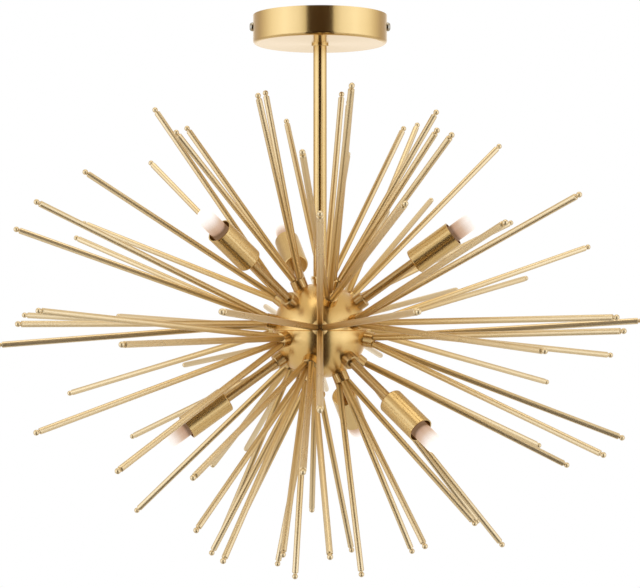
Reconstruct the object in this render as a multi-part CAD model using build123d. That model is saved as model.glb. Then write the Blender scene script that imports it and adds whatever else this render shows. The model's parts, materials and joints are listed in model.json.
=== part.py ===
# Semi-flush ceiling light: brass rods burst from a ball hub, with capsule lamps between them.
# Millimetres, +Z up. The origin is on the ceiling at the middle of the canopy, and -Y faces the viewer.

import os
from math import cos, radians, sin, sqrt

from build123d import *

# Fits
slip = 0.1
seat = 0.05
running = 0.05

# How far a cutter runs past what it cuts
over = 1

# Canopy and the strap that holds it to the ceiling
canopy_dia = 120
canopy_height = 25.5
canopy_wall = 1.2
canopy_edge = 3
strap_width = 16
strap_thick = 2
strap_tab = 17
strap_gap = 0.2
slot_spacing = 70
slot_length = 16
slot_width = 5
side_screw_dia = 4
side_screw_length = 7
side_screw_head = 8
side_screw_head_height = 3
side_screw_dome = 2.4
side_screw_slot = 1
side_screw_drop = 10
earth_screw_dia = 3
earth_screw_head = 6
earth_screw_head_height = 2.4
earth_screw_dome = 1
earth_screw_slot = 0.8
earth_screw_offset = 19.5
block_length = 24
block_width = 14
block_height = 11
block_wire_hole = 3.4
block_wire_height = 6.5
block_screw_hole = 2.6
block_screw_depth = 4
block_groove = 1
block_groove_depth = 3
block_edge = 1

# Stem
stem_dia = 12
stem_collar_dia = 15.2
stem_collar_height = 2
coupler_dia = 12.4
coupler_height = 6.4
coupler_flange_dia = 14.4
coupler_flange = 2.6
nipple_dia = 10
nipple_bore = 6.5
nipple_grip = 9
washer_dia = 24
washer_thick = 1.5
big_nut_width = 13
big_nut_thick = 5
thread_end = 1
ring_edge = 0.6

# Hub
hub_drop = 282
hub_dia = 85
hub_wall = 2
seam_chamfer = 0.4
stirrup_length = 24
stirrup_depth = 12
stirrup_bar = 5
stirrup_side = 4
stirrup_drop = 10.5
stirrup_height = 28
tie_rod_dia = 5
small_nut_width = 8
small_nut_thick = 4
connector_dia = 30
connector_height = 18
connector_gap = 2
connector_edge = 1
finial_neck_dia = 7
finial_ball_dia = 9.6
finial_length = 19.5
finial_bore = 11

# Rods and the bosses they stand in
boss_dia = 14
boss_height = 7.5
boss_foot = 3
boss_stud_dia = 5
rods_per_boss = 4
rod_dia = 5.5
rod_splay = 17.5
rod_ring = 4.3
rod_spigot_dia = 3
rod_spigot = 4
rod_spigot_gap = 0.5
rod_neck_dia = 3.2
rod_neck = 1
rod_bead_dia = 5
rod_chamfer = 0.5

long_rod = 237
middle_rod = 205
short_rod = 172

# Each ring: elevation, azimuth of its first boss, rod length, turn of each boss above and below
rod_rings = {
    "equator": (3, 0, long_rod, (0, 60, 0), None),
    "low": (10, 46, long_rod, (30, 85, 35), (60, 80, 40)),
    "mid": (38, 14, middle_rod, (80, 25, 10), (40, 20, 35)),
    "high": (65, 45, short_rod, (0, 80, 65), (80, 60, 20)),
}

# Lamps
lamp_elevation = 35
lamp_azimuth = 75
arm_dia = 8.4
arm_bore = 6
arm_socket = 5.5
lamp_stud_dia = 8
lamp_stud_bore = 4.5
lamp_nut_width = 12
lamp_nut_thick = 4
lamp_boss_edge = 1
sleeve_dia = 23
sleeve_length = 43
sleeve_wall = 1
sleeve_back = 2
sleeve_edge = 1.5
mouth_reach = 148.3
lamp_nipple_bore = 3.4
lamp_nipple_grip = 8
holder_dia = 18
holder_length = 21
holder_edge = 1
pin_spacing = 9
pin_width = 2.6
pin_thick = 0.9
pin_length = 9
pin_wire = 0.9
pin_gap = 0.35
press_length = 8
press_width = 12
press_thick = 5
press_edge = 1.5
glass_dia = 15.5
glass_length = 46
glass_lift = 0.3
glass_shoulder = 3

# Leads
stem_lead_dia = 3.2
lamp_lead_dia = 2.5
lead_bend = 34
lead_drop = 2.5
lead_offset = 9

# Derived sizes
canopy_r = canopy_dia / 2
canopy_bore_r = canopy_r - canopy_wall
hub_r = hub_dia / 2
hub_bore_r = hub_r - hub_wall
hub_z = -hub_drop
coupler_r = coupler_dia / 2
finial_neck_r = finial_neck_dia / 2
coupler_z = hub_z + sqrt(hub_r**2 - coupler_r**2)
finial_z = hub_z - sqrt(hub_r**2 - finial_neck_r**2)
stem_top = -canopy_height
stem_bottom = coupler_z + coupler_height
stem_bore = nipple_dia + 2 * slip
nipple_top = -canopy_height + canopy_wall + washer_thick + big_nut_thick + thread_end
block_bottom = -strap_thick - block_height
tab_x = sqrt((canopy_bore_r - strap_gap) ** 2 - (strap_width / 2) ** 2)
stirrup_top = hub_z + hub_bore_r - stirrup_drop
stirrup_bottom = stirrup_top - stirrup_height
window_top = stirrup_top - stirrup_bar
window_bottom = stirrup_bottom + stirrup_bar
tie_rod_top = window_bottom + small_nut_thick + thread_end
hub_pipe_bottom = window_top - big_nut_thick - thread_end
boss_r = boss_dia / 2
dome_r = rod_ring / sin(radians(rod_splay))
dome_root = hub_r + boss_height - sqrt(dome_r**2 - boss_r**2)
sleeve_root = mouth_reach - sleeve_length
holder_root = sleeve_root + sleeve_back
holder_face = holder_root + holder_length
glass_root = holder_face + glass_lift
arm_root = hub_r + boss_height - arm_socket
nodes = {}


# Turned and drilled shapes
def post(dia, low, high):
    return Pos(0, 0, low) * Cylinder(dia / 2, high - low, align=(Align.CENTER, Align.CENTER, Align.MIN))


def tube(dia, bore, low, high):
    return post(dia, low, high) - post(bore, low - over, high + over)


def block(length, width, low, high):
    return Pos(0, 0, low) * Box(length, width, high - low, align=(Align.CENTER, Align.CENTER, Align.MIN))


def turned(*points):
    outline = Polyline(*[(x, 0, z) for x, z in points], close=True)
    return revolve(make_face(outline), Axis.Z)


def hex_nut(width, thick, bore, low):
    flats = extrude(RegularPolygon(width / 2, 6, major_radius=False), thick)
    return Pos(0, 0, low) * flats - post(bore, low - over, low + thick + over)


def lead(dia, *points):
    run = None
    for start, end in zip(points, points[1:]):
        along = Vector(*end) - Vector(*start)
        piece = Plane(origin=start, z_dir=along).location * post(dia, 0, along.length)
        run = piece if run is None else run + piece
    for elbow in points[1:-1]:
        run += Pos(*elbow) * Sphere(dia / 2)
    return run


# Stations round the hub: local +Z points out from the hub's centre
def station(azimuth, elevation, turn=0):
    a, e, t = radians(azimuth), radians(elevation), radians(turn)
    out = Vector(sin(a) * cos(e), -cos(a) * cos(e), sin(e))
    across = Vector(cos(a), sin(a), 0)
    up = Vector(-sin(a) * sin(e), cos(a) * sin(e), cos(e))
    side = up * cos(t) + across * sin(t)
    return Plane(origin=(0, 0, hub_z), x_dir=side, z_dir=out).location


def ring_stations(azimuth, elevation, turns):
    return [station(azimuth + 120 * k, elevation, turn) for k, turn in enumerate(turns)]


def rod_places():
    return [Pos(0, 0, dome_root) * Rot(0, 0, 360 / rods_per_boss * k) * Rot(0, rod_splay, 0)
            for k in range(rods_per_boss)]


def keep(name, *solids):
    nodes[name] = solids[0] if len(solids) == 1 else Compound(children=list(solids))


# Canopy cup, open towards the ceiling
cup = post(canopy_dia, -canopy_height, 0)
cup = fillet(cup.edges().group_by(Axis.Z)[0], canopy_edge)
hollow = post(2 * canopy_bore_r, -canopy_height + canopy_wall, over)
hollow = fillet(hollow.edges().group_by(Axis.Z)[0], canopy_edge - canopy_wall)
side_hole = Rot(0, 90, 0) * post(side_screw_dia + 2 * slip, -canopy_dia, canopy_dia)
side_hole = Pos(0, 0, -side_screw_drop) * side_hole
canopy = cup - hollow - post(stem_bore, -canopy_height - over, 0) - side_hole
keep("canopy_shell", canopy)

# Ceiling strap with its two turned-down tabs
strap = block(2 * tab_x, strap_width, -strap_thick, 0)
for side in (-1, 1):
    strap += Pos(side * (tab_x - strap_thick / 2), 0, 0) * block(strap_thick, strap_width, -strap_tab, 0)
    slot = extrude(SlotOverall(slot_length, slot_width), -strap_thick - 2 * over)
    strap -= Pos(side * slot_spacing / 2, 0, over) * slot
strap -= side_hole
strap -= Pos(-earth_screw_offset, 0, 0) * post(earth_screw_dia + 2 * slip, -strap_thick - over, over)
keep("ceiling_strap", strap)

# Side screws through the canopy into the tabs
screw_shank = post(side_screw_dia, -side_screw_length, 0)
screw_head = post(side_screw_head, 0, side_screw_head_height)
screw_head = fillet(screw_head.edges().group_by(Axis.Z)[-1], side_screw_dome)
slot_floor = side_screw_head_height - side_screw_slot
screw_slot = block(side_screw_head + 2 * over, side_screw_slot, slot_floor, side_screw_head_height + over)
side_screw = screw_shank + screw_head - screw_slot
side_screws = [Rot(0, 90 * side, 0) * Pos(0, 0, canopy_r) * side_screw for side in (-1, 1)]
keep("canopy_screws", *[Pos(0, 0, -side_screw_drop) * screw for screw in side_screws])

# Earth screw under the strap
earth_low = -strap_thick - earth_screw_head_height
earth_head = post(earth_screw_head, earth_low, -strap_thick)
earth_head = fillet(earth_head.edges().group_by(Axis.Z)[0], earth_screw_dome)
earth_slot_top = earth_low + earth_screw_slot
earth_head -= block(earth_screw_head + 2 * over, earth_screw_slot, earth_low - over, earth_slot_top)
earth_screw = earth_head + post(earth_screw_dia, -strap_thick, 0)
keep("earth_screw", Pos(-earth_screw_offset, 0, 0) * earth_screw)

# Terminal block under the strap: three ways, each with a wire hole and two screw wells
terminal = block(block_length, block_width, block_bottom, -strap_thick)
terminal = fillet(terminal.edges().filter_by(Axis.Z), block_edge)
for way in (-1, 0, 1):
    way_x = way * block_length / 3
    wire_hole = Rot(90, 0, 0) * post(block_wire_hole, -block_width, block_width)
    terminal -= Pos(way_x, 0, block_bottom + block_wire_height) * wire_hole
    for side in (-1, 1):
        screw_hole = post(block_screw_hole, block_bottom - over, block_bottom + block_screw_depth)
        terminal -= Pos(way_x, side * block_width / 4, 0) * screw_hole
groove_top = block_bottom + block_groove_depth
groove = block(block_groove, block_width + 2 * over, block_bottom - over, groove_top)
for side in (-1, 1):
    terminal -= Pos(side * block_length / 6, 0, 0) * groove
keep("terminal_block", terminal)

# Stem: threaded nipple, washer and nut in the canopy, collar under it, tube and hub coupler
keep("stem_nipple", tube(nipple_dia, nipple_bore, stem_top - nipple_grip, nipple_top))
washer_low = -canopy_height + canopy_wall
keep("stem_washer", tube(washer_dia, stem_bore, washer_low, washer_low + washer_thick))
keep("stem_nut", hex_nut(big_nut_width, big_nut_thick, stem_bore, washer_low + washer_thick))
collar = tube(stem_collar_dia, stem_dia + 2 * slip, stem_top - stem_collar_height, stem_top)
collar = fillet(collar.edges().group_by(Axis.Z)[0].sort_by(SortBy.RADIUS)[-1], ring_edge)
keep("stem_collar", collar)
keep("stem_tube", tube(stem_dia, stem_bore, stem_bottom, stem_top))
coupler = post(coupler_flange_dia, stem_bottom - coupler_flange, stem_bottom)
coupler = fillet(coupler.edges(), ring_edge) + post(coupler_dia, coupler_z, stem_bottom - coupler_flange)
coupler -= post(stem_bore, coupler_z - over, stem_bottom + over)
keep("stem_coupler", coupler)
keep("hub_pipe", tube(nipple_dia, nipple_bore, hub_pipe_bottom, stem_bottom + nipple_grip))

# Stirrup inside the hub: hangs on the pipe and carries the tie rod
stirrup = block(stirrup_length, stirrup_depth, stirrup_bottom, stirrup_top)
stirrup -= block(stirrup_length - 2 * stirrup_side, stirrup_depth + 2 * over, window_bottom, window_top)
stirrup -= post(stem_bore, window_top - over, stirrup_top + over)
stirrup -= post(tie_rod_dia + 2 * slip, stirrup_bottom - over, window_bottom + over)
keep("hub_stirrup", stirrup)
connector_top = stirrup_bottom - connector_gap
connector_bottom = connector_top - connector_height
tie_rod_bottom = finial_z - finial_bore + thread_end
keep("tie_rod", post(tie_rod_dia, tie_rod_bottom, tie_rod_top))
nut_bore = tie_rod_dia + 2 * slip
shell_nut_top = hub_z + sqrt(hub_bore_r**2 - (big_nut_width / sqrt(3)) ** 2) - seat
shell_nut = hex_nut(big_nut_width, big_nut_thick, stem_bore, shell_nut_top - big_nut_thick)
pipe_nut = hex_nut(big_nut_width, big_nut_thick, stem_bore, window_top - big_nut_thick)
tie_nut = hex_nut(small_nut_width, small_nut_thick, nut_bore, window_bottom)
connector_nut = hex_nut(small_nut_width, small_nut_thick, nut_bore, connector_bottom - small_nut_thick)
keep("hub_nuts", shell_nut, pipe_nut, tie_nut, connector_nut)
connector = tube(connector_dia, nut_bore, connector_bottom, connector_top)
connector_rim = connector.edges().group_by(Axis.Z)[0].sort_by(SortBy.RADIUS)[-1]
keep("hub_connector", chamfer(connector_rim, connector_edge))

# Stations of every boss
rod_stations = {}
for ring, (elevation, azimuth, length, upper_turns, lower_turns) in rod_rings.items():
    name = "rods_" + ring
    if lower_turns is None:
        rod_stations[name] = (length, ring_stations(azimuth, elevation, upper_turns))
    else:
        rod_stations[name + "_upper"] = (length, ring_stations(azimuth, elevation, upper_turns))
        mirrored = [station(-azimuth - 120 * k, -elevation, turn) for k, turn in enumerate(lower_turns)]
        rod_stations[name + "_lower"] = (length, mirrored)
lamp_stations = ring_stations(lamp_azimuth, lamp_elevation, (0, 0, 0))
lamp_stations += [station(-lamp_azimuth - 120 * k, -lamp_elevation) for k in range(3)]

# Hub: two half shells drilled for the bosses, the pipe and the tie rod
ball = Pos(0, 0, hub_z) * (Sphere(hub_r) - Sphere(hub_bore_r))
ball -= post(stem_bore, hub_z, stem_bottom) + post(nut_bore, hub_z - hub_r - over, hub_z)
ball -= block(hub_dia, hub_dia, coupler_z, hub_z + hub_r + over)
ball -= block(hub_dia, hub_dia, hub_z - hub_r - over, finial_z)
boss_hole = post(boss_stud_dia + 2 * slip, hub_bore_r - 2 * over, hub_r + 2 * over)
lamp_hole = post(lamp_stud_dia + 2 * slip, hub_bore_r - 2 * over, hub_r + 2 * over)
for length, stations in rod_stations.values():
    for place in stations:
        ball -= place * boss_hole
for place in lamp_stations:
    ball -= place * lamp_hole
seam_r = hub_r + 0.01
seam = turned((seam_r - seam_chamfer, 0), (seam_r, seam_chamfer), (seam_r + over, 0), (seam_r, -seam_chamfer))
ball -= Pos(0, 0, hub_z) * seam
upper_half = block(hub_dia + 2 * over, hub_dia + 2 * over, hub_z, hub_z + hub_r + over)
lower_half = block(hub_dia + 2 * over, hub_dia + 2 * over, hub_z - hub_r - over, hub_z)
keep("hub_upper_shell", ball & upper_half)
keep("hub_lower_shell", ball & lower_half)

# Finial: a neck and ball on the tie rod
ball_z = finial_z - finial_length + finial_ball_dia / 2
finial = post(finial_neck_dia, ball_z, finial_z) + Pos(0, 0, ball_z) * Sphere(finial_ball_dia / 2)
finial -= post(tie_rod_dia + 2 * running, finial_z - finial_bore, finial_z + over)
keep("finial", finial)

# Rod boss: a domed turning with a stud through the shell, drilled square to each rod
boss = post(boss_dia, hub_r - boss_foot, hub_r + boss_height + boss_r) & Pos(0, 0, dome_root) * Sphere(dome_r)
boss -= Sphere(hub_r + seat)
boss += post(boss_stud_dia, hub_bore_r - small_nut_thick - thread_end - seat, hub_r + over)
for place in rod_places():
    socket_floor = dome_r - rod_spigot - rod_spigot_gap
    boss -= place * post(rod_spigot_dia + 2 * slip, socket_floor, dome_r + boss_height)
boss_nut_low = sqrt(hub_bore_r**2 - (small_nut_width / sqrt(3)) ** 2) - small_nut_thick - seat
boss_nut = hex_nut(small_nut_width, small_nut_thick, nut_bore, boss_nut_low)


# Rod: spigot, body and a beaded tip in one turning
def rod(length):
    r, spigot_r, neck_r, bead_r = rod_dia / 2, rod_spigot_dia / 2, rod_neck_dia / 2, rod_bead_dia / 2
    low, foot, tip = dome_r - rod_spigot, dome_r + seat, dome_r + length
    bead_z = tip - bead_r
    neck_top = bead_z - sqrt(bead_r**2 - neck_r**2)
    body_top = neck_top - rod_neck
    bar = turned((0, low), (spigot_r, low), (spigot_r, foot), (r, foot), (r, body_top - rod_chamfer),
                 (r - rod_chamfer, body_top), (neck_r, body_top), (neck_r, bead_z), (0, bead_z))
    return bar + Pos(0, 0, bead_z) * Sphere(bead_r)


bosses = []
boss_nuts = []
for name, (length, stations) in rod_stations.items():
    bar = rod(length)
    keep(name, *[spot * place * bar for spot in stations for place in rod_places()])
    bosses += [spot * boss for spot in stations]
    boss_nuts += [spot * boss_nut for spot in stations]
keep("rod_bosses", *bosses)
keep("rod_boss_nuts", *boss_nuts)

# Lamp boss, arm and joining nipple
lamp_boss = post(boss_dia, hub_r - boss_foot, hub_r + boss_height) - Sphere(hub_r + seat)
lamp_boss = fillet(lamp_boss.edges().group_by(Axis.Z)[-1], lamp_boss_edge)
lamp_stud_end = hub_bore_r - lamp_nut_thick - 2 * thread_end
lamp_boss += post(lamp_stud_dia, lamp_stud_end, hub_r + seat)
lamp_boss -= post(arm_dia + 2 * slip, arm_root, hub_r + boss_height + over)
lamp_boss -= post(lamp_stud_bore, lamp_stud_end - thread_end, arm_root + thread_end)
lamp_nut_low = sqrt(hub_bore_r**2 - (lamp_nut_width / sqrt(3)) ** 2) - lamp_nut_thick - seat
lamp_nut = hex_nut(lamp_nut_width, lamp_nut_thick, lamp_stud_dia + 2 * slip, lamp_nut_low)
arm = tube(arm_dia, arm_bore, arm_root, sleeve_root)
lamp_nipple_dia = arm_bore - 2 * slip
lamp_nipple_top = holder_root + lamp_nipple_grip
lamp_nipple = tube(lamp_nipple_dia, lamp_nipple_bore, sleeve_root - lamp_nipple_grip, lamp_nipple_top)
keep("lamp_bosses", *[spot * lamp_boss for spot in lamp_stations])
keep("lamp_boss_nuts", *[spot * lamp_nut for spot in lamp_stations])
keep("lamp_arms_upper", *[spot * arm for spot in lamp_stations[:3]])
keep("lamp_arms_lower", *[spot * arm for spot in lamp_stations[3:]])
keep("lamp_nipples", *[spot * lamp_nipple for spot in lamp_stations])

# Sleeve, holder and capsule bulb
sleeve = fillet(post(sleeve_dia, sleeve_root, mouth_reach).edges().group_by(Axis.Z)[0], sleeve_edge)
sleeve -= post(sleeve_dia - 2 * sleeve_wall, holder_root, mouth_reach + over)
sleeve -= post(arm_bore, sleeve_root - over, holder_root + over)
holder = chamfer(post(holder_dia, holder_root, holder_face).edges().group_by(Axis.Z)[-1], holder_edge)
holder -= post(arm_bore, holder_root - over, lamp_nipple_top)
pins = []
for side in (-1, 1):
    well_floor = holder_face - pin_length - thread_end
    well = block(pin_width + 2 * pin_gap, pin_thick + 2 * pin_gap, well_floor, holder_face + over)
    holder -= Pos(side * pin_spacing / 2, 0, 0) * well
    loop = Pos(0, 0, -pin_length / 2) * Rot(90, 0, 0) * Box(pin_width, pin_length, pin_thick)
    loop = fillet(loop.edges().filter_by(Axis.Y).group_by(Axis.Z)[0], pin_width / 2 - 0.1)
    eye = block(pin_width - 2 * pin_wire, pin_thick + 2 * over, -pin_length + 2 * pin_wire, -pin_wire)
    pins.append(Pos(side * pin_spacing / 2, 0, glass_root) * (loop - eye))
glass_tip = glass_root + glass_length
bulb_body_low = glass_root + press_length - over
capsule = post(glass_dia, bulb_body_low, glass_tip - glass_dia / 2)
capsule += Pos(0, 0, glass_tip - glass_dia / 2) * Sphere(glass_dia / 2)
capsule = fillet(capsule.edges().group_by(Axis.Z)[0], glass_shoulder)
press = block(press_width, press_thick, glass_root, bulb_body_low + over)
press = fillet(press.edges().filter_by(Axis.Z), press_edge)
glass = capsule + press
for number, spot in enumerate(lamp_stations, 1):
    keep(f"lamp_sleeve_{number}", spot * sleeve)
    keep(f"lamp_holder_{number}", spot * holder)
    keep(f"bulb_glass_{number}", spot * glass)
    keep(f"bulb_pins_{number}", *[spot * pin for pin in pins])

# Leads: one down the stem to the connector, one up each arm
bend_y = -lead_offset
stem_run = [(0, 0, block_bottom), (0, 0, hub_pipe_bottom - lead_drop)]
stem_run += [(0, bend_y, tie_rod_top + thread_end), (0, bend_y, connector_top)]
keep("stem_lead", lead(stem_lead_dia, *stem_run))
connector_r = connector_dia / 2
lamp_leads = []
for number, spot in enumerate(lamp_stations):
    lead_top = (spot * Pos(0, 0, lamp_nipple_top)).position
    bend = (spot * Pos(0, 0, lead_bend)).position
    flat = Vector(bend.X, bend.Y, 0).normalized() * (connector_r + lamp_lead_dia / 2)
    inner = (flat.X, flat.Y, connector_top - connector_height * (0.3 if number < 3 else 0.6))
    lamp_leads.append(lead(lamp_lead_dia, tuple(lead_top), tuple(bend), inner))
keep("lamp_leads", *lamp_leads)

os.makedirs("parts", exist_ok=True)
for name, shape in nodes.items():
    export_step(shape, f"parts/{name}.step")
print(len(nodes), "nodes written")
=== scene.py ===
import json
import math

import bpy
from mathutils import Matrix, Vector


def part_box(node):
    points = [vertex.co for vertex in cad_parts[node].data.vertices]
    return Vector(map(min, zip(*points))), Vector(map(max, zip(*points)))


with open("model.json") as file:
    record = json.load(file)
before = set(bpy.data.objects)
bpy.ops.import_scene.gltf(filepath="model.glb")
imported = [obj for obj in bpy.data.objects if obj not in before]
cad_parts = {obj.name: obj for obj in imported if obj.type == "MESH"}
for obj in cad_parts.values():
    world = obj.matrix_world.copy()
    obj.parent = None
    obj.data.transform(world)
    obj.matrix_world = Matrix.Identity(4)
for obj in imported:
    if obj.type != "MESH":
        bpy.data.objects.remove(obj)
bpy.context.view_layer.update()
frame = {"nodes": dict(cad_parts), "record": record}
nodes = frame["nodes"]
hubCentre = Vector((0, 0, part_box("hub_upper_shell")[0][2]))  # the seam is level with the hub's centre
print("frame loaded:", len(nodes), "nodes, hub at", round(hubCentre.z, 4))


class Wire:
    # a socket that takes part in Python sums, each adding its Math node
    def __init__(self, sheet, socket):
        self.sheet, self.socket = sheet, socket

    def maths(self, operation, first, second):
        return self.sheet.add("ShaderNodeMath", {"operation": operation}, {0: first, 1: second})

    def __add__(self, other):
        return self.maths("ADD", self, other)

    def __radd__(self, other):
        return self.maths("ADD", other, self)

    def __sub__(self, other):
        return self.maths("SUBTRACT", self, other)

    def __rsub__(self, other):
        return self.maths("SUBTRACT", other, self)

    def __mul__(self, other):
        return self.maths("MULTIPLY", self, other)

    def __rmul__(self, other):
        return self.maths("MULTIPLY", other, self)


class NodeSheet:
    # the nodes of one material, or of the world
    def __init__(self, owner):
        owner.use_nodes = True
        self.owner, self.tree = owner, owner.node_tree
        self.tree.nodes.clear()

    def add(self, kind, settings=None, sockets=None, out=0):
        node = self.tree.nodes.new(kind)
        for key, value in (settings or {}).items():
            if key == "stops":
                ramp = node.color_ramp.elements
                for extra in value[2:]:  # a new ramp has two stops
                    ramp.new(1.0)
                for stop, (place, colour) in zip(ramp, value):
                    stop.position, stop.color = place, colour
            else:
                setattr(node, key, value)
        for key, value in (sockets or {}).items():
            if isinstance(value, Wire):
                self.tree.links.new(value.socket, node.inputs[key])
            else:
                node.inputs[key].default_value = value
        return Wire(self, node.outputs[out]) if node.outputs else None

    def place(self):
        return self.add("ShaderNodeTexCoord", out="Object")

    def noise(self, vector, scale, detail=3.0, roughness=0.5):
        sockets = {"Vector": vector, "Scale": scale, "Detail": detail, "Roughness": roughness}
        return self.add("ShaderNodeTexNoise", None, sockets, "Fac")

    def vector(self, operation, sockets, out=0):
        return self.add("ShaderNodeVectorMath", {"operation": operation}, sockets, out)

    def scaled(self, vector, scale):
        return self.vector("SCALE", {0: vector, "Scale": scale})

    def length(self, vector):
        return self.vector("LENGTH", {0: vector}, "Value")

    def axis(self, vector, name):
        return self.add("ShaderNodeSeparateXYZ", None, {0: vector}, name)

    def joined(self, x, y, z):
        return self.add("ShaderNodeCombineXYZ", None, {0: x, 1: y, 2: z})

    def rise(self, value, start, end):
        sockets = {"Value": value, "From Min": start, "From Max": end}
        return self.add("ShaderNodeMapRange", {"interpolation_type": "SMOOTHSTEP"}, sockets)

    def blend(self, factor, first, second):
        return self.add("ShaderNodeMix", {"data_type": "RGBA"}, {0: factor, 6: first, 7: second}, 2)

    def bump(self, height, strength, distance):
        sockets = {"Height": height, "Strength": strength, "Distance": distance}
        return self.add("ShaderNodeBump", None, sockets, "Normal")

    def fromHub(self):
        return self.vector("SUBTRACT", {0: self.place(), 1: tuple(hubCentre)})

    def surface(self, sockets):
        return self.close(self.add("ShaderNodeBsdfPrincipled", None, sockets))

    def close(self, shader, kind="ShaderNodeOutputMaterial"):
        self.add(kind, None, {"Surface": shader})
        return self.owner


def newSheet(name):
    return NodeSheet(bpy.data.materials.new(name))


# satin brass, brushed the way each piece was turned or drawn
brass = {
    "turned": {"pale": (0.74, 0.53, 0.225, 1), "deep": (0.69, 0.48, 0.19, 1), "patch": 26.0, "metal": 1.0,
               "rough": 0.20, "roughSwing": 0.02, "lines": "rings", "bump": 0.015, "brushed": 0.55},
    "hub": {"pale": (0.80, 0.54, 0.20, 1), "deep": (0.68, 0.43, 0.14, 1), "patch": 30.0, "metal": 1.0,
            "rough": 0.26, "roughSwing": 0.02, "lines": "rings", "bump": 0.010, "brushed": 0.6},
    # the rods' last two entries paint shade: a darker colour and how far from the hub it reaches
    "rod": {"pale": (0.81, 0.65, 0.375, 1), "deep": (0.75, 0.575, 0.305, 1), "patch": 22.0, "metal": 0.78,
            "rough": 0.28, "roughSwing": 0.02, "lines": "drawn", "bump": 0.003, "brushed": 0.0,
            "hubShade": (0.66, 0.43, 0.145, 1), "hubShadeReach": (0.05, 0.24)},
    "boss": {"pale": (0.67, 0.455, 0.18, 1), "deep": (0.56, 0.36, 0.13, 1), "patch": 60.0, "metal": 1.0,
             "rough": 0.24, "roughSwing": 0.03, "lines": "drawn", "bump": 0.010, "brushed": 0.0},
    "sleeve": {"pale": (0.73, 0.52, 0.22, 1), "deep": (0.67, 0.46, 0.18, 1), "patch": 40.0, "metal": 1.0,
               "rough": 0.25, "roughSwing": 0.02, "lines": "collars", "bump": 0.005, "brushed": 0.0},
    "arm": {"pale": (0.60, 0.41, 0.17, 1), "deep": (0.48, 0.31, 0.12, 1), "patch": 34.0, "metal": 1.0,
            "rough": 0.27, "roughSwing": 0.03, "lines": "drawn", "bump": 0.015, "brushed": 0.0},
    "screw": {"pale": (0.50, 0.46, 0.36, 1), "deep": (0.34, 0.30, 0.22, 1), "patch": 400.0, "metal": 1.0,
              "rough": 0.18, "roughSwing": 0.03, "lines": "rings", "bump": 0.010, "brushed": 0.0},
}
brassCoat = {"weight": 0.04, "roughness": 0.12}
brassMarks = {
    "lathePitch": 2200.0, "latheWander": 14.0, "drawPitch": 330.0, "drawWander": 6.0, "detail": 3.0,
    "texture": 0.6, "depth": 0.00003, "patchSwing": 0.04, "brushAngle": 0.25,
}


def ringLines(sheet):
    # lathe marks: rings round the stem's axis, on walls and on flat faces
    pitch, wander = brassMarks["lathePitch"], brassMarks["latheWander"]
    spot = sheet.place()
    x, y, z = (sheet.axis(spot, name) for name in "XYZ")
    radius = sheet.length(sheet.joined(x, y, 0.0))
    return sheet.joined(radius * pitch + x * wander, z * pitch + y * wander, 0.0)


def drawnLines(sheet):
    # draw marks: they run out from the hub along each rod
    away = sheet.fromHub()
    ray = sheet.scaled(sheet.vector("NORMALIZE", {0: away}), brassMarks["drawPitch"])
    return sheet.vector("ADD", {0: ray, 1: sheet.scaled(away, brassMarks["drawWander"])})


def collarLines(sheet):
    # lathe marks round each lamp's own axis
    away = sheet.fromHub()
    rings = sheet.joined(sheet.length(away) * brassMarks["lathePitch"], 0.0, 0.0)
    return sheet.vector("ADD", {0: rings, 1: sheet.scaled(away, brassMarks["latheWander"])})


lineMakers = {"rings": ringLines, "drawn": drawnLines, "collars": collarLines}


def brassFinish(name, look):
    sheet = newSheet(name + "Brass")
    path = lineMakers[look["lines"]](sheet)
    lines = sheet.noise(path, 1.0, brassMarks["detail"], brassMarks["texture"])
    patches = sheet.noise(sheet.place(), look["patch"])
    colour = sheet.blend(patches, look["deep"], look["pale"])
    if "hubShade" in look:  # painted shade: the rods darken towards the hub
        along = sheet.rise(sheet.length(sheet.fromHub()), *look["hubShadeReach"])
        colour = sheet.blend(along, look["hubShade"], colour)
    rough = look["rough"] + (lines - 0.5) * look["roughSwing"] + (patches - 0.5) * brassMarks["patchSwing"]
    normal = sheet.bump(lines, look["bump"], brassMarks["depth"])
    return sheet.surface({
        "Base Color": colour, "Metallic": look["metal"], "Roughness": rough, "Normal": normal,
        "Anisotropic": look["brushed"],
        "Anisotropic Rotation": brassMarks["brushAngle"] if look["brushed"] else 0.0,
        "Coat Weight": brassCoat["weight"], "Coat Roughness": brassCoat["roughness"]})


brassLooks = {name: brassFinish(name, look) for name, look in brass.items()}
print("brass finishes made:", len(brassLooks))

# everything that isn't brass
plain = {
    "plated_steel": {"pale": (0.60, 0.60, 0.58, 1), "deep": (0.48, 0.48, 0.46, 1), "metal": 1.0,
                     "rough": 0.34, "grain": 90.0},
    "pin_wire": {"pale": (0.66, 0.65, 0.62, 1), "deep": (0.55, 0.54, 0.51, 1), "metal": 1.0,
                 "rough": 0.25, "grain": 300.0},
    "holder_ceramic": {"pale": (0.80, 0.77, 0.70, 1), "deep": (0.70, 0.66, 0.58, 1), "metal": 0.0,
                       "rough": 0.55, "grain": 260.0},
    "connector_plastic": {"pale": (0.72, 0.70, 0.64, 1), "deep": (0.64, 0.62, 0.56, 1), "metal": 0.0,
                          "rough": 0.42, "grain": 120.0},
    "lead_sheath": {"pale": (0.62, 0.59, 0.52, 1), "deep": (0.54, 0.51, 0.44, 1), "metal": 0.0,
                    "rough": 0.5, "grain": 70.0},
}
plainGrain = {"detail": 4.0, "bump": 0.15, "depth": 0.00005, "roughSwing": 0.12}


def plainFinish(name, look):
    sheet = newSheet(name)
    grain = sheet.noise(sheet.place(), look["grain"], plainGrain["detail"])
    return sheet.surface({
        "Base Color": sheet.blend(grain, look["deep"], look["pale"]), "Metallic": look["metal"],
        "Normal": sheet.bump(grain, plainGrain["bump"], plainGrain["depth"]),
        "Roughness": look["rough"] + (grain - 0.5) * plainGrain["roughSwing"]})


plainLooks = {name: plainFinish(name, look) for name, look in plain.items()}
print("plain finishes made:", len(plainLooks))
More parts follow.
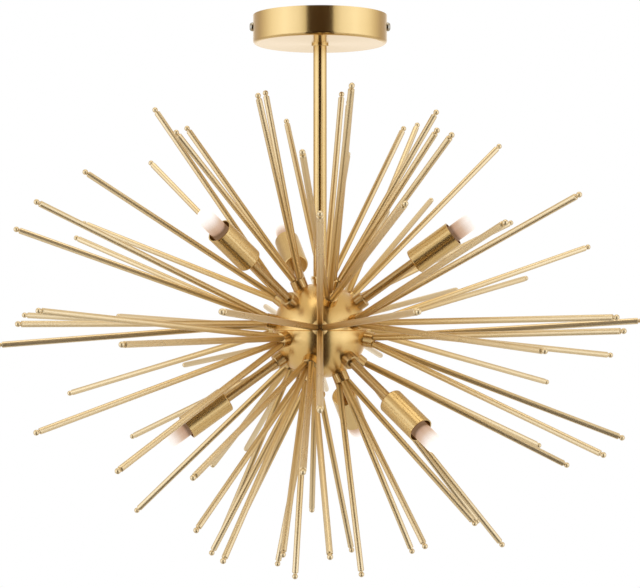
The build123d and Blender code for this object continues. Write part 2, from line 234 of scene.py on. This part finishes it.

# lit capsule: painted shade where it comes out of its sleeve, dusky there and white beyond, by distance from the
# hub
bulb = {
    "near": 0.140, "far": 0.180, "strength": 0.95, "grain": 500.0, "grainDetail": 2.0,
    "rough": 0.22, "roughSwing": 0.1, "deep": (0.03, 0.025, 0.02, 1), "deepShare": 0.80, "deepSwing": 0.08,
    # the dim first stops of the glow paint the shade inside the sleeve's mouth
    "glow": [(0.146, (0.22, 0.13, 0.075)), (0.1505, (0.17, 0.09, 0.045)), (0.1530, (0.45, 0.27, 0.17)),
             (0.158, (0.59, 0.41, 0.29)), (0.166, (0.91, 0.82, 0.75)), (0.172, (1.0, 0.985, 0.97))],
}


def bulbFinish():
    sheet = newSheet("litCapsule")
    span = bulb["far"] - bulb["near"]
    along = (sheet.length(sheet.fromHub()) - bulb["near"]) * (1 / span)
    stops = [((reach - bulb["near"]) / span, colour + (1,)) for reach, colour in bulb["glow"]]
    glow = sheet.add("ShaderNodeValToRGB", {"stops": stops}, {"Fac": along})
    grain = sheet.noise(sheet.place(), bulb["grain"], bulb["grainDetail"])
    body = sheet.blend(grain * bulb["deepSwing"] + bulb["deepShare"], glow, bulb["deep"])
    return sheet.surface({
        "Base Color": body, "Roughness": bulb["rough"] + grain * bulb["roughSwing"],
        "Emission Color": glow, "Emission Strength": bulb["strength"]})


litCapsule = bulbFinish()

brassByPiece = {
    "rods_": "rod", "rod_bosses": "boss", "lamp_sleeve": "sleeve", "lamp_arms": "arm", "lamp_bosses": "arm",
    "hub_upper_shell": "hub", "hub_lower_shell": "hub", "canopy_screws": "screw",
}
slotOf = {part["node"]: part["material_slot"] for part in frame["record"]["subparts"]}


def finishFor(name):
    slot = slotOf[name]
    if slot == "bulb_glass":
        return litCapsule
    if slot != "satin_brass":
        return plainLooks[slot]
    return brassLooks[next((look for start, look in brassByPiece.items() if name.startswith(start)), "turned")]


for name, node in nodes.items():
    node.data.materials.clear()
    node.data.materials.append(finishFor(name))
print("finishes laid on")


def stageMesh(name, corners, faces, material):
    mesh = bpy.data.meshes.new(name)
    mesh.from_pydata(corners, [], faces)
    mesh.materials.append(material)
    sheet = bpy.data.objects.new(name, mesh)
    bpy.context.scene.collection.objects.link(sheet)
    return sheet


def stripFaces(steps):
    return [(2 * k, 2 * k + 1, 2 * k + 3, 2 * k + 2) for k in range(steps)]


clothDetail = 2.0  # of the noise in the floor's and the opening's cloth

# pale floor, well below the light
floor = {"drop": -1.35, "size": 6.0, "deep": (0.78, 0.78, 0.77, 1), "pale": (0.82, 0.82, 0.81, 1), "grain": 60.0}


def floorFinish():
    sheet = newSheet("paleFloor")
    weave = sheet.noise(sheet.place(), floor["grain"], clothDetail)
    return sheet.surface({"Base Color": sheet.blend(weave, floor["deep"], floor["pale"]), "Roughness": 1.0})


half, low = floor["size"] / 2, floor["drop"]
floorCorners = [(-half, -half, low), (half, -half, low), (half, half, low), (-half, half, low)]
stageMesh("floor", floorCorners, [(0, 1, 2, 3)], floorFinish())

# round light tent with a gap in front: each glow goes with its bearing from the front
tent = {
    "radius": 2.7, "top": 2.4, "gap": 27.0, "steps": 36, "strength": 2.0,
    "glow": [(27, (0.95, 0.97, 1.04)), (36, (1.24, 1.30, 1.52)), (62, (1.46, 1.58, 1.95)),
             (88, (1.26, 1.30, 1.46)), (108, (0.88, 0.84, 0.81)), (126, (0.58, 0.51, 0.46)),
             (148, (0.60, 0.53, 0.49)), (166, (1.00, 0.97, 0.95)), (180, (1.12, 1.10, 1.08))],
    "roofGlow": (0.80, 0.74, 0.68), "roofFade": (0.5, 2.2),
}


def share(colour):
    return tuple(part / tent["strength"] for part in colour) + (1,)


def tentFinish():
    # brightest well to the side, dimmer towards the back and the roof
    sheet = newSheet("tentCloth")
    spot = sheet.place()
    across = sheet.vector("ABSOLUTE", {0: spot})
    ahead = 0.0 - sheet.axis(spot, "Y")
    bearing = ahead.maths("ARCTAN2", sheet.axis(across, "X"), ahead) * (1 / math.pi)
    stops = [(angle / 180, share(colour)) for angle, colour in tent["glow"]]
    glow = sheet.add("ShaderNodeValToRGB", {"stops": stops}, {"Fac": bearing})
    lift = sheet.rise(sheet.axis(spot, "Z"), *tent["roofFade"])
    return sheet.surface({
        "Base Color": (0, 0, 0, 1), "Roughness": 1.0, "Emission Strength": tent["strength"],
        "Emission Color": sheet.blend(lift, glow, share(tent["roofGlow"]))})


def hideScreen(screen):
    screen.visible_camera = False
    screen.visible_shadow = False


tentCloth = tentFinish()
radius = tent["radius"]
for name, side in (("leftScreen", -1), ("rightScreen", 1)):
    corners = []
    for k in range(tent["steps"] + 1):
        bearing = math.radians(tent["gap"] + (180 - tent["gap"]) * k / tent["steps"])
        x, y = side * radius * math.sin(bearing), -radius * math.cos(bearing)
        corners += [(x, y, low), (x, y, tent["top"])]
    hideScreen(stageMesh(name, corners, stripFaces(tent["steps"]), tentCloth))

roofCorners = [(x, y, tent["top"]) for x, y, z in floorCorners]
hideScreen(stageMesh("roof", roofCorners, [(0, 1, 2, 3)], tentCloth))

# the tent's dark opening, from under the hub to overhead: only reflections see it
opening = {
    "lift": 72.0, "steps": 12, "topHalf": 0.53, "footHalf": 0.20, "footBack": 0.15, "offFloor": 0.003,
    "deep": (0.030, 0.012, 0.001, 1), "pale": (0.042, 0.018, 0.002, 1), "high": (0.26, 0.17, 0.08, 1),
    "fade": (0.1, 2.0), "grain": 40.0,
}


def openingFinish():
    # darkest level with the hub, paler overhead
    sheet = newSheet("darkOpening")
    spot = sheet.place()
    dark = sheet.blend(sheet.noise(spot, opening["grain"], clothDetail), opening["deep"], opening["pale"])
    lift = sheet.rise(sheet.axis(spot, "Z"), *opening["fade"])
    return sheet.surface({"Base Color": sheet.blend(lift, dark, opening["high"]), "Roughness": 1.0})


mouthHalf = radius * math.sin(math.radians(tent["gap"]))
floorLine = low + opening["offFloor"]
mouthLine = [(opening["footBack"], floorLine, opening["footHalf"]), (-radius, floorLine, mouthHalf)]
for k in range(opening["steps"] + 1):
    part = k / opening["steps"]
    lift = math.radians(opening["lift"] * part)
    wide = mouthHalf + (opening["topHalf"] - mouthHalf) * part
    mouthLine.append((-radius * math.cos(lift), hubCentre.z + radius * math.sin(lift), wide))
corners = [(side * wide, y, z) for y, z, wide in mouthLine for side in (-1, 1)]
openingSheet = stageMesh("opening", corners, stripFaces(len(mouthLine) - 1), openingFinish())
hideScreen(openingSheet)
openingSheet.visible_diffuse = False

# soft panel overhead
topLight = {"spot": (0.0, -0.3, 1.9), "size": 1.6, "level": 1.1}
topLamp = bpy.data.lights.new("topPanel", "AREA")
topLamp.shape, topLamp.size = "SQUARE", topLight["size"]
topLamp.energy = topLight["level"] * math.pi * topLight["size"] ** 2
topPanel = bpy.data.objects.new("topPanel", topLamp)
topPanel.location = topLight["spot"]
topPanel.rotation_euler = (hubCentre - topPanel.location).to_track_quat("-Z", "Y").to_euler()
bpy.context.scene.collection.objects.link(topPanel)

# white wherever the camera, gloss or glass sees the world
backdrop = {"seen": 1.0, "fill": 0.55}
world = bpy.data.worlds.new("studioWorld")
bpy.context.scene.world = world
sky = NodeSheet(world)
seen = sky.add("ShaderNodeLightPath", out="Is Camera Ray")
for ray in ("Is Glossy Ray", "Is Transmission Ray"):
    seen = seen.maths("MAXIMUM", seen, sky.add("ShaderNodeLightPath", out=ray))
level = backdrop["fill"] + seen * (backdrop["seen"] - backdrop["fill"])
glow = sky.add("ShaderNodeBackground", None, {"Color": (1, 1, 1, 1), "Strength": level})
sky.close(glow, "ShaderNodeOutputWorld")
print("studio lit")

# camera level with the hub, shifted up to frame the canopy
view = {"distance": 1.827, "lens": 114.75, "sensor": 36.0, "shiftY": 0.0572}
cameraData = bpy.data.cameras.new("camera")
cameraData.lens, cameraData.sensor_width = view["lens"], view["sensor"]
cameraData.sensor_fit = "HORIZONTAL"
cameraData.shift_y = view["shiftY"]
camera = bpy.data.objects.new("camera", cameraData)
camera.location = hubCentre + Vector((0, -view["distance"], 0))
camera.rotation_euler = (math.radians(90), 0, 0)
bpy.context.scene.collection.objects.link(camera)
bpy.context.scene.camera = camera
bpy.context.scene.view_settings.view_transform = "Standard"
print("camera set")
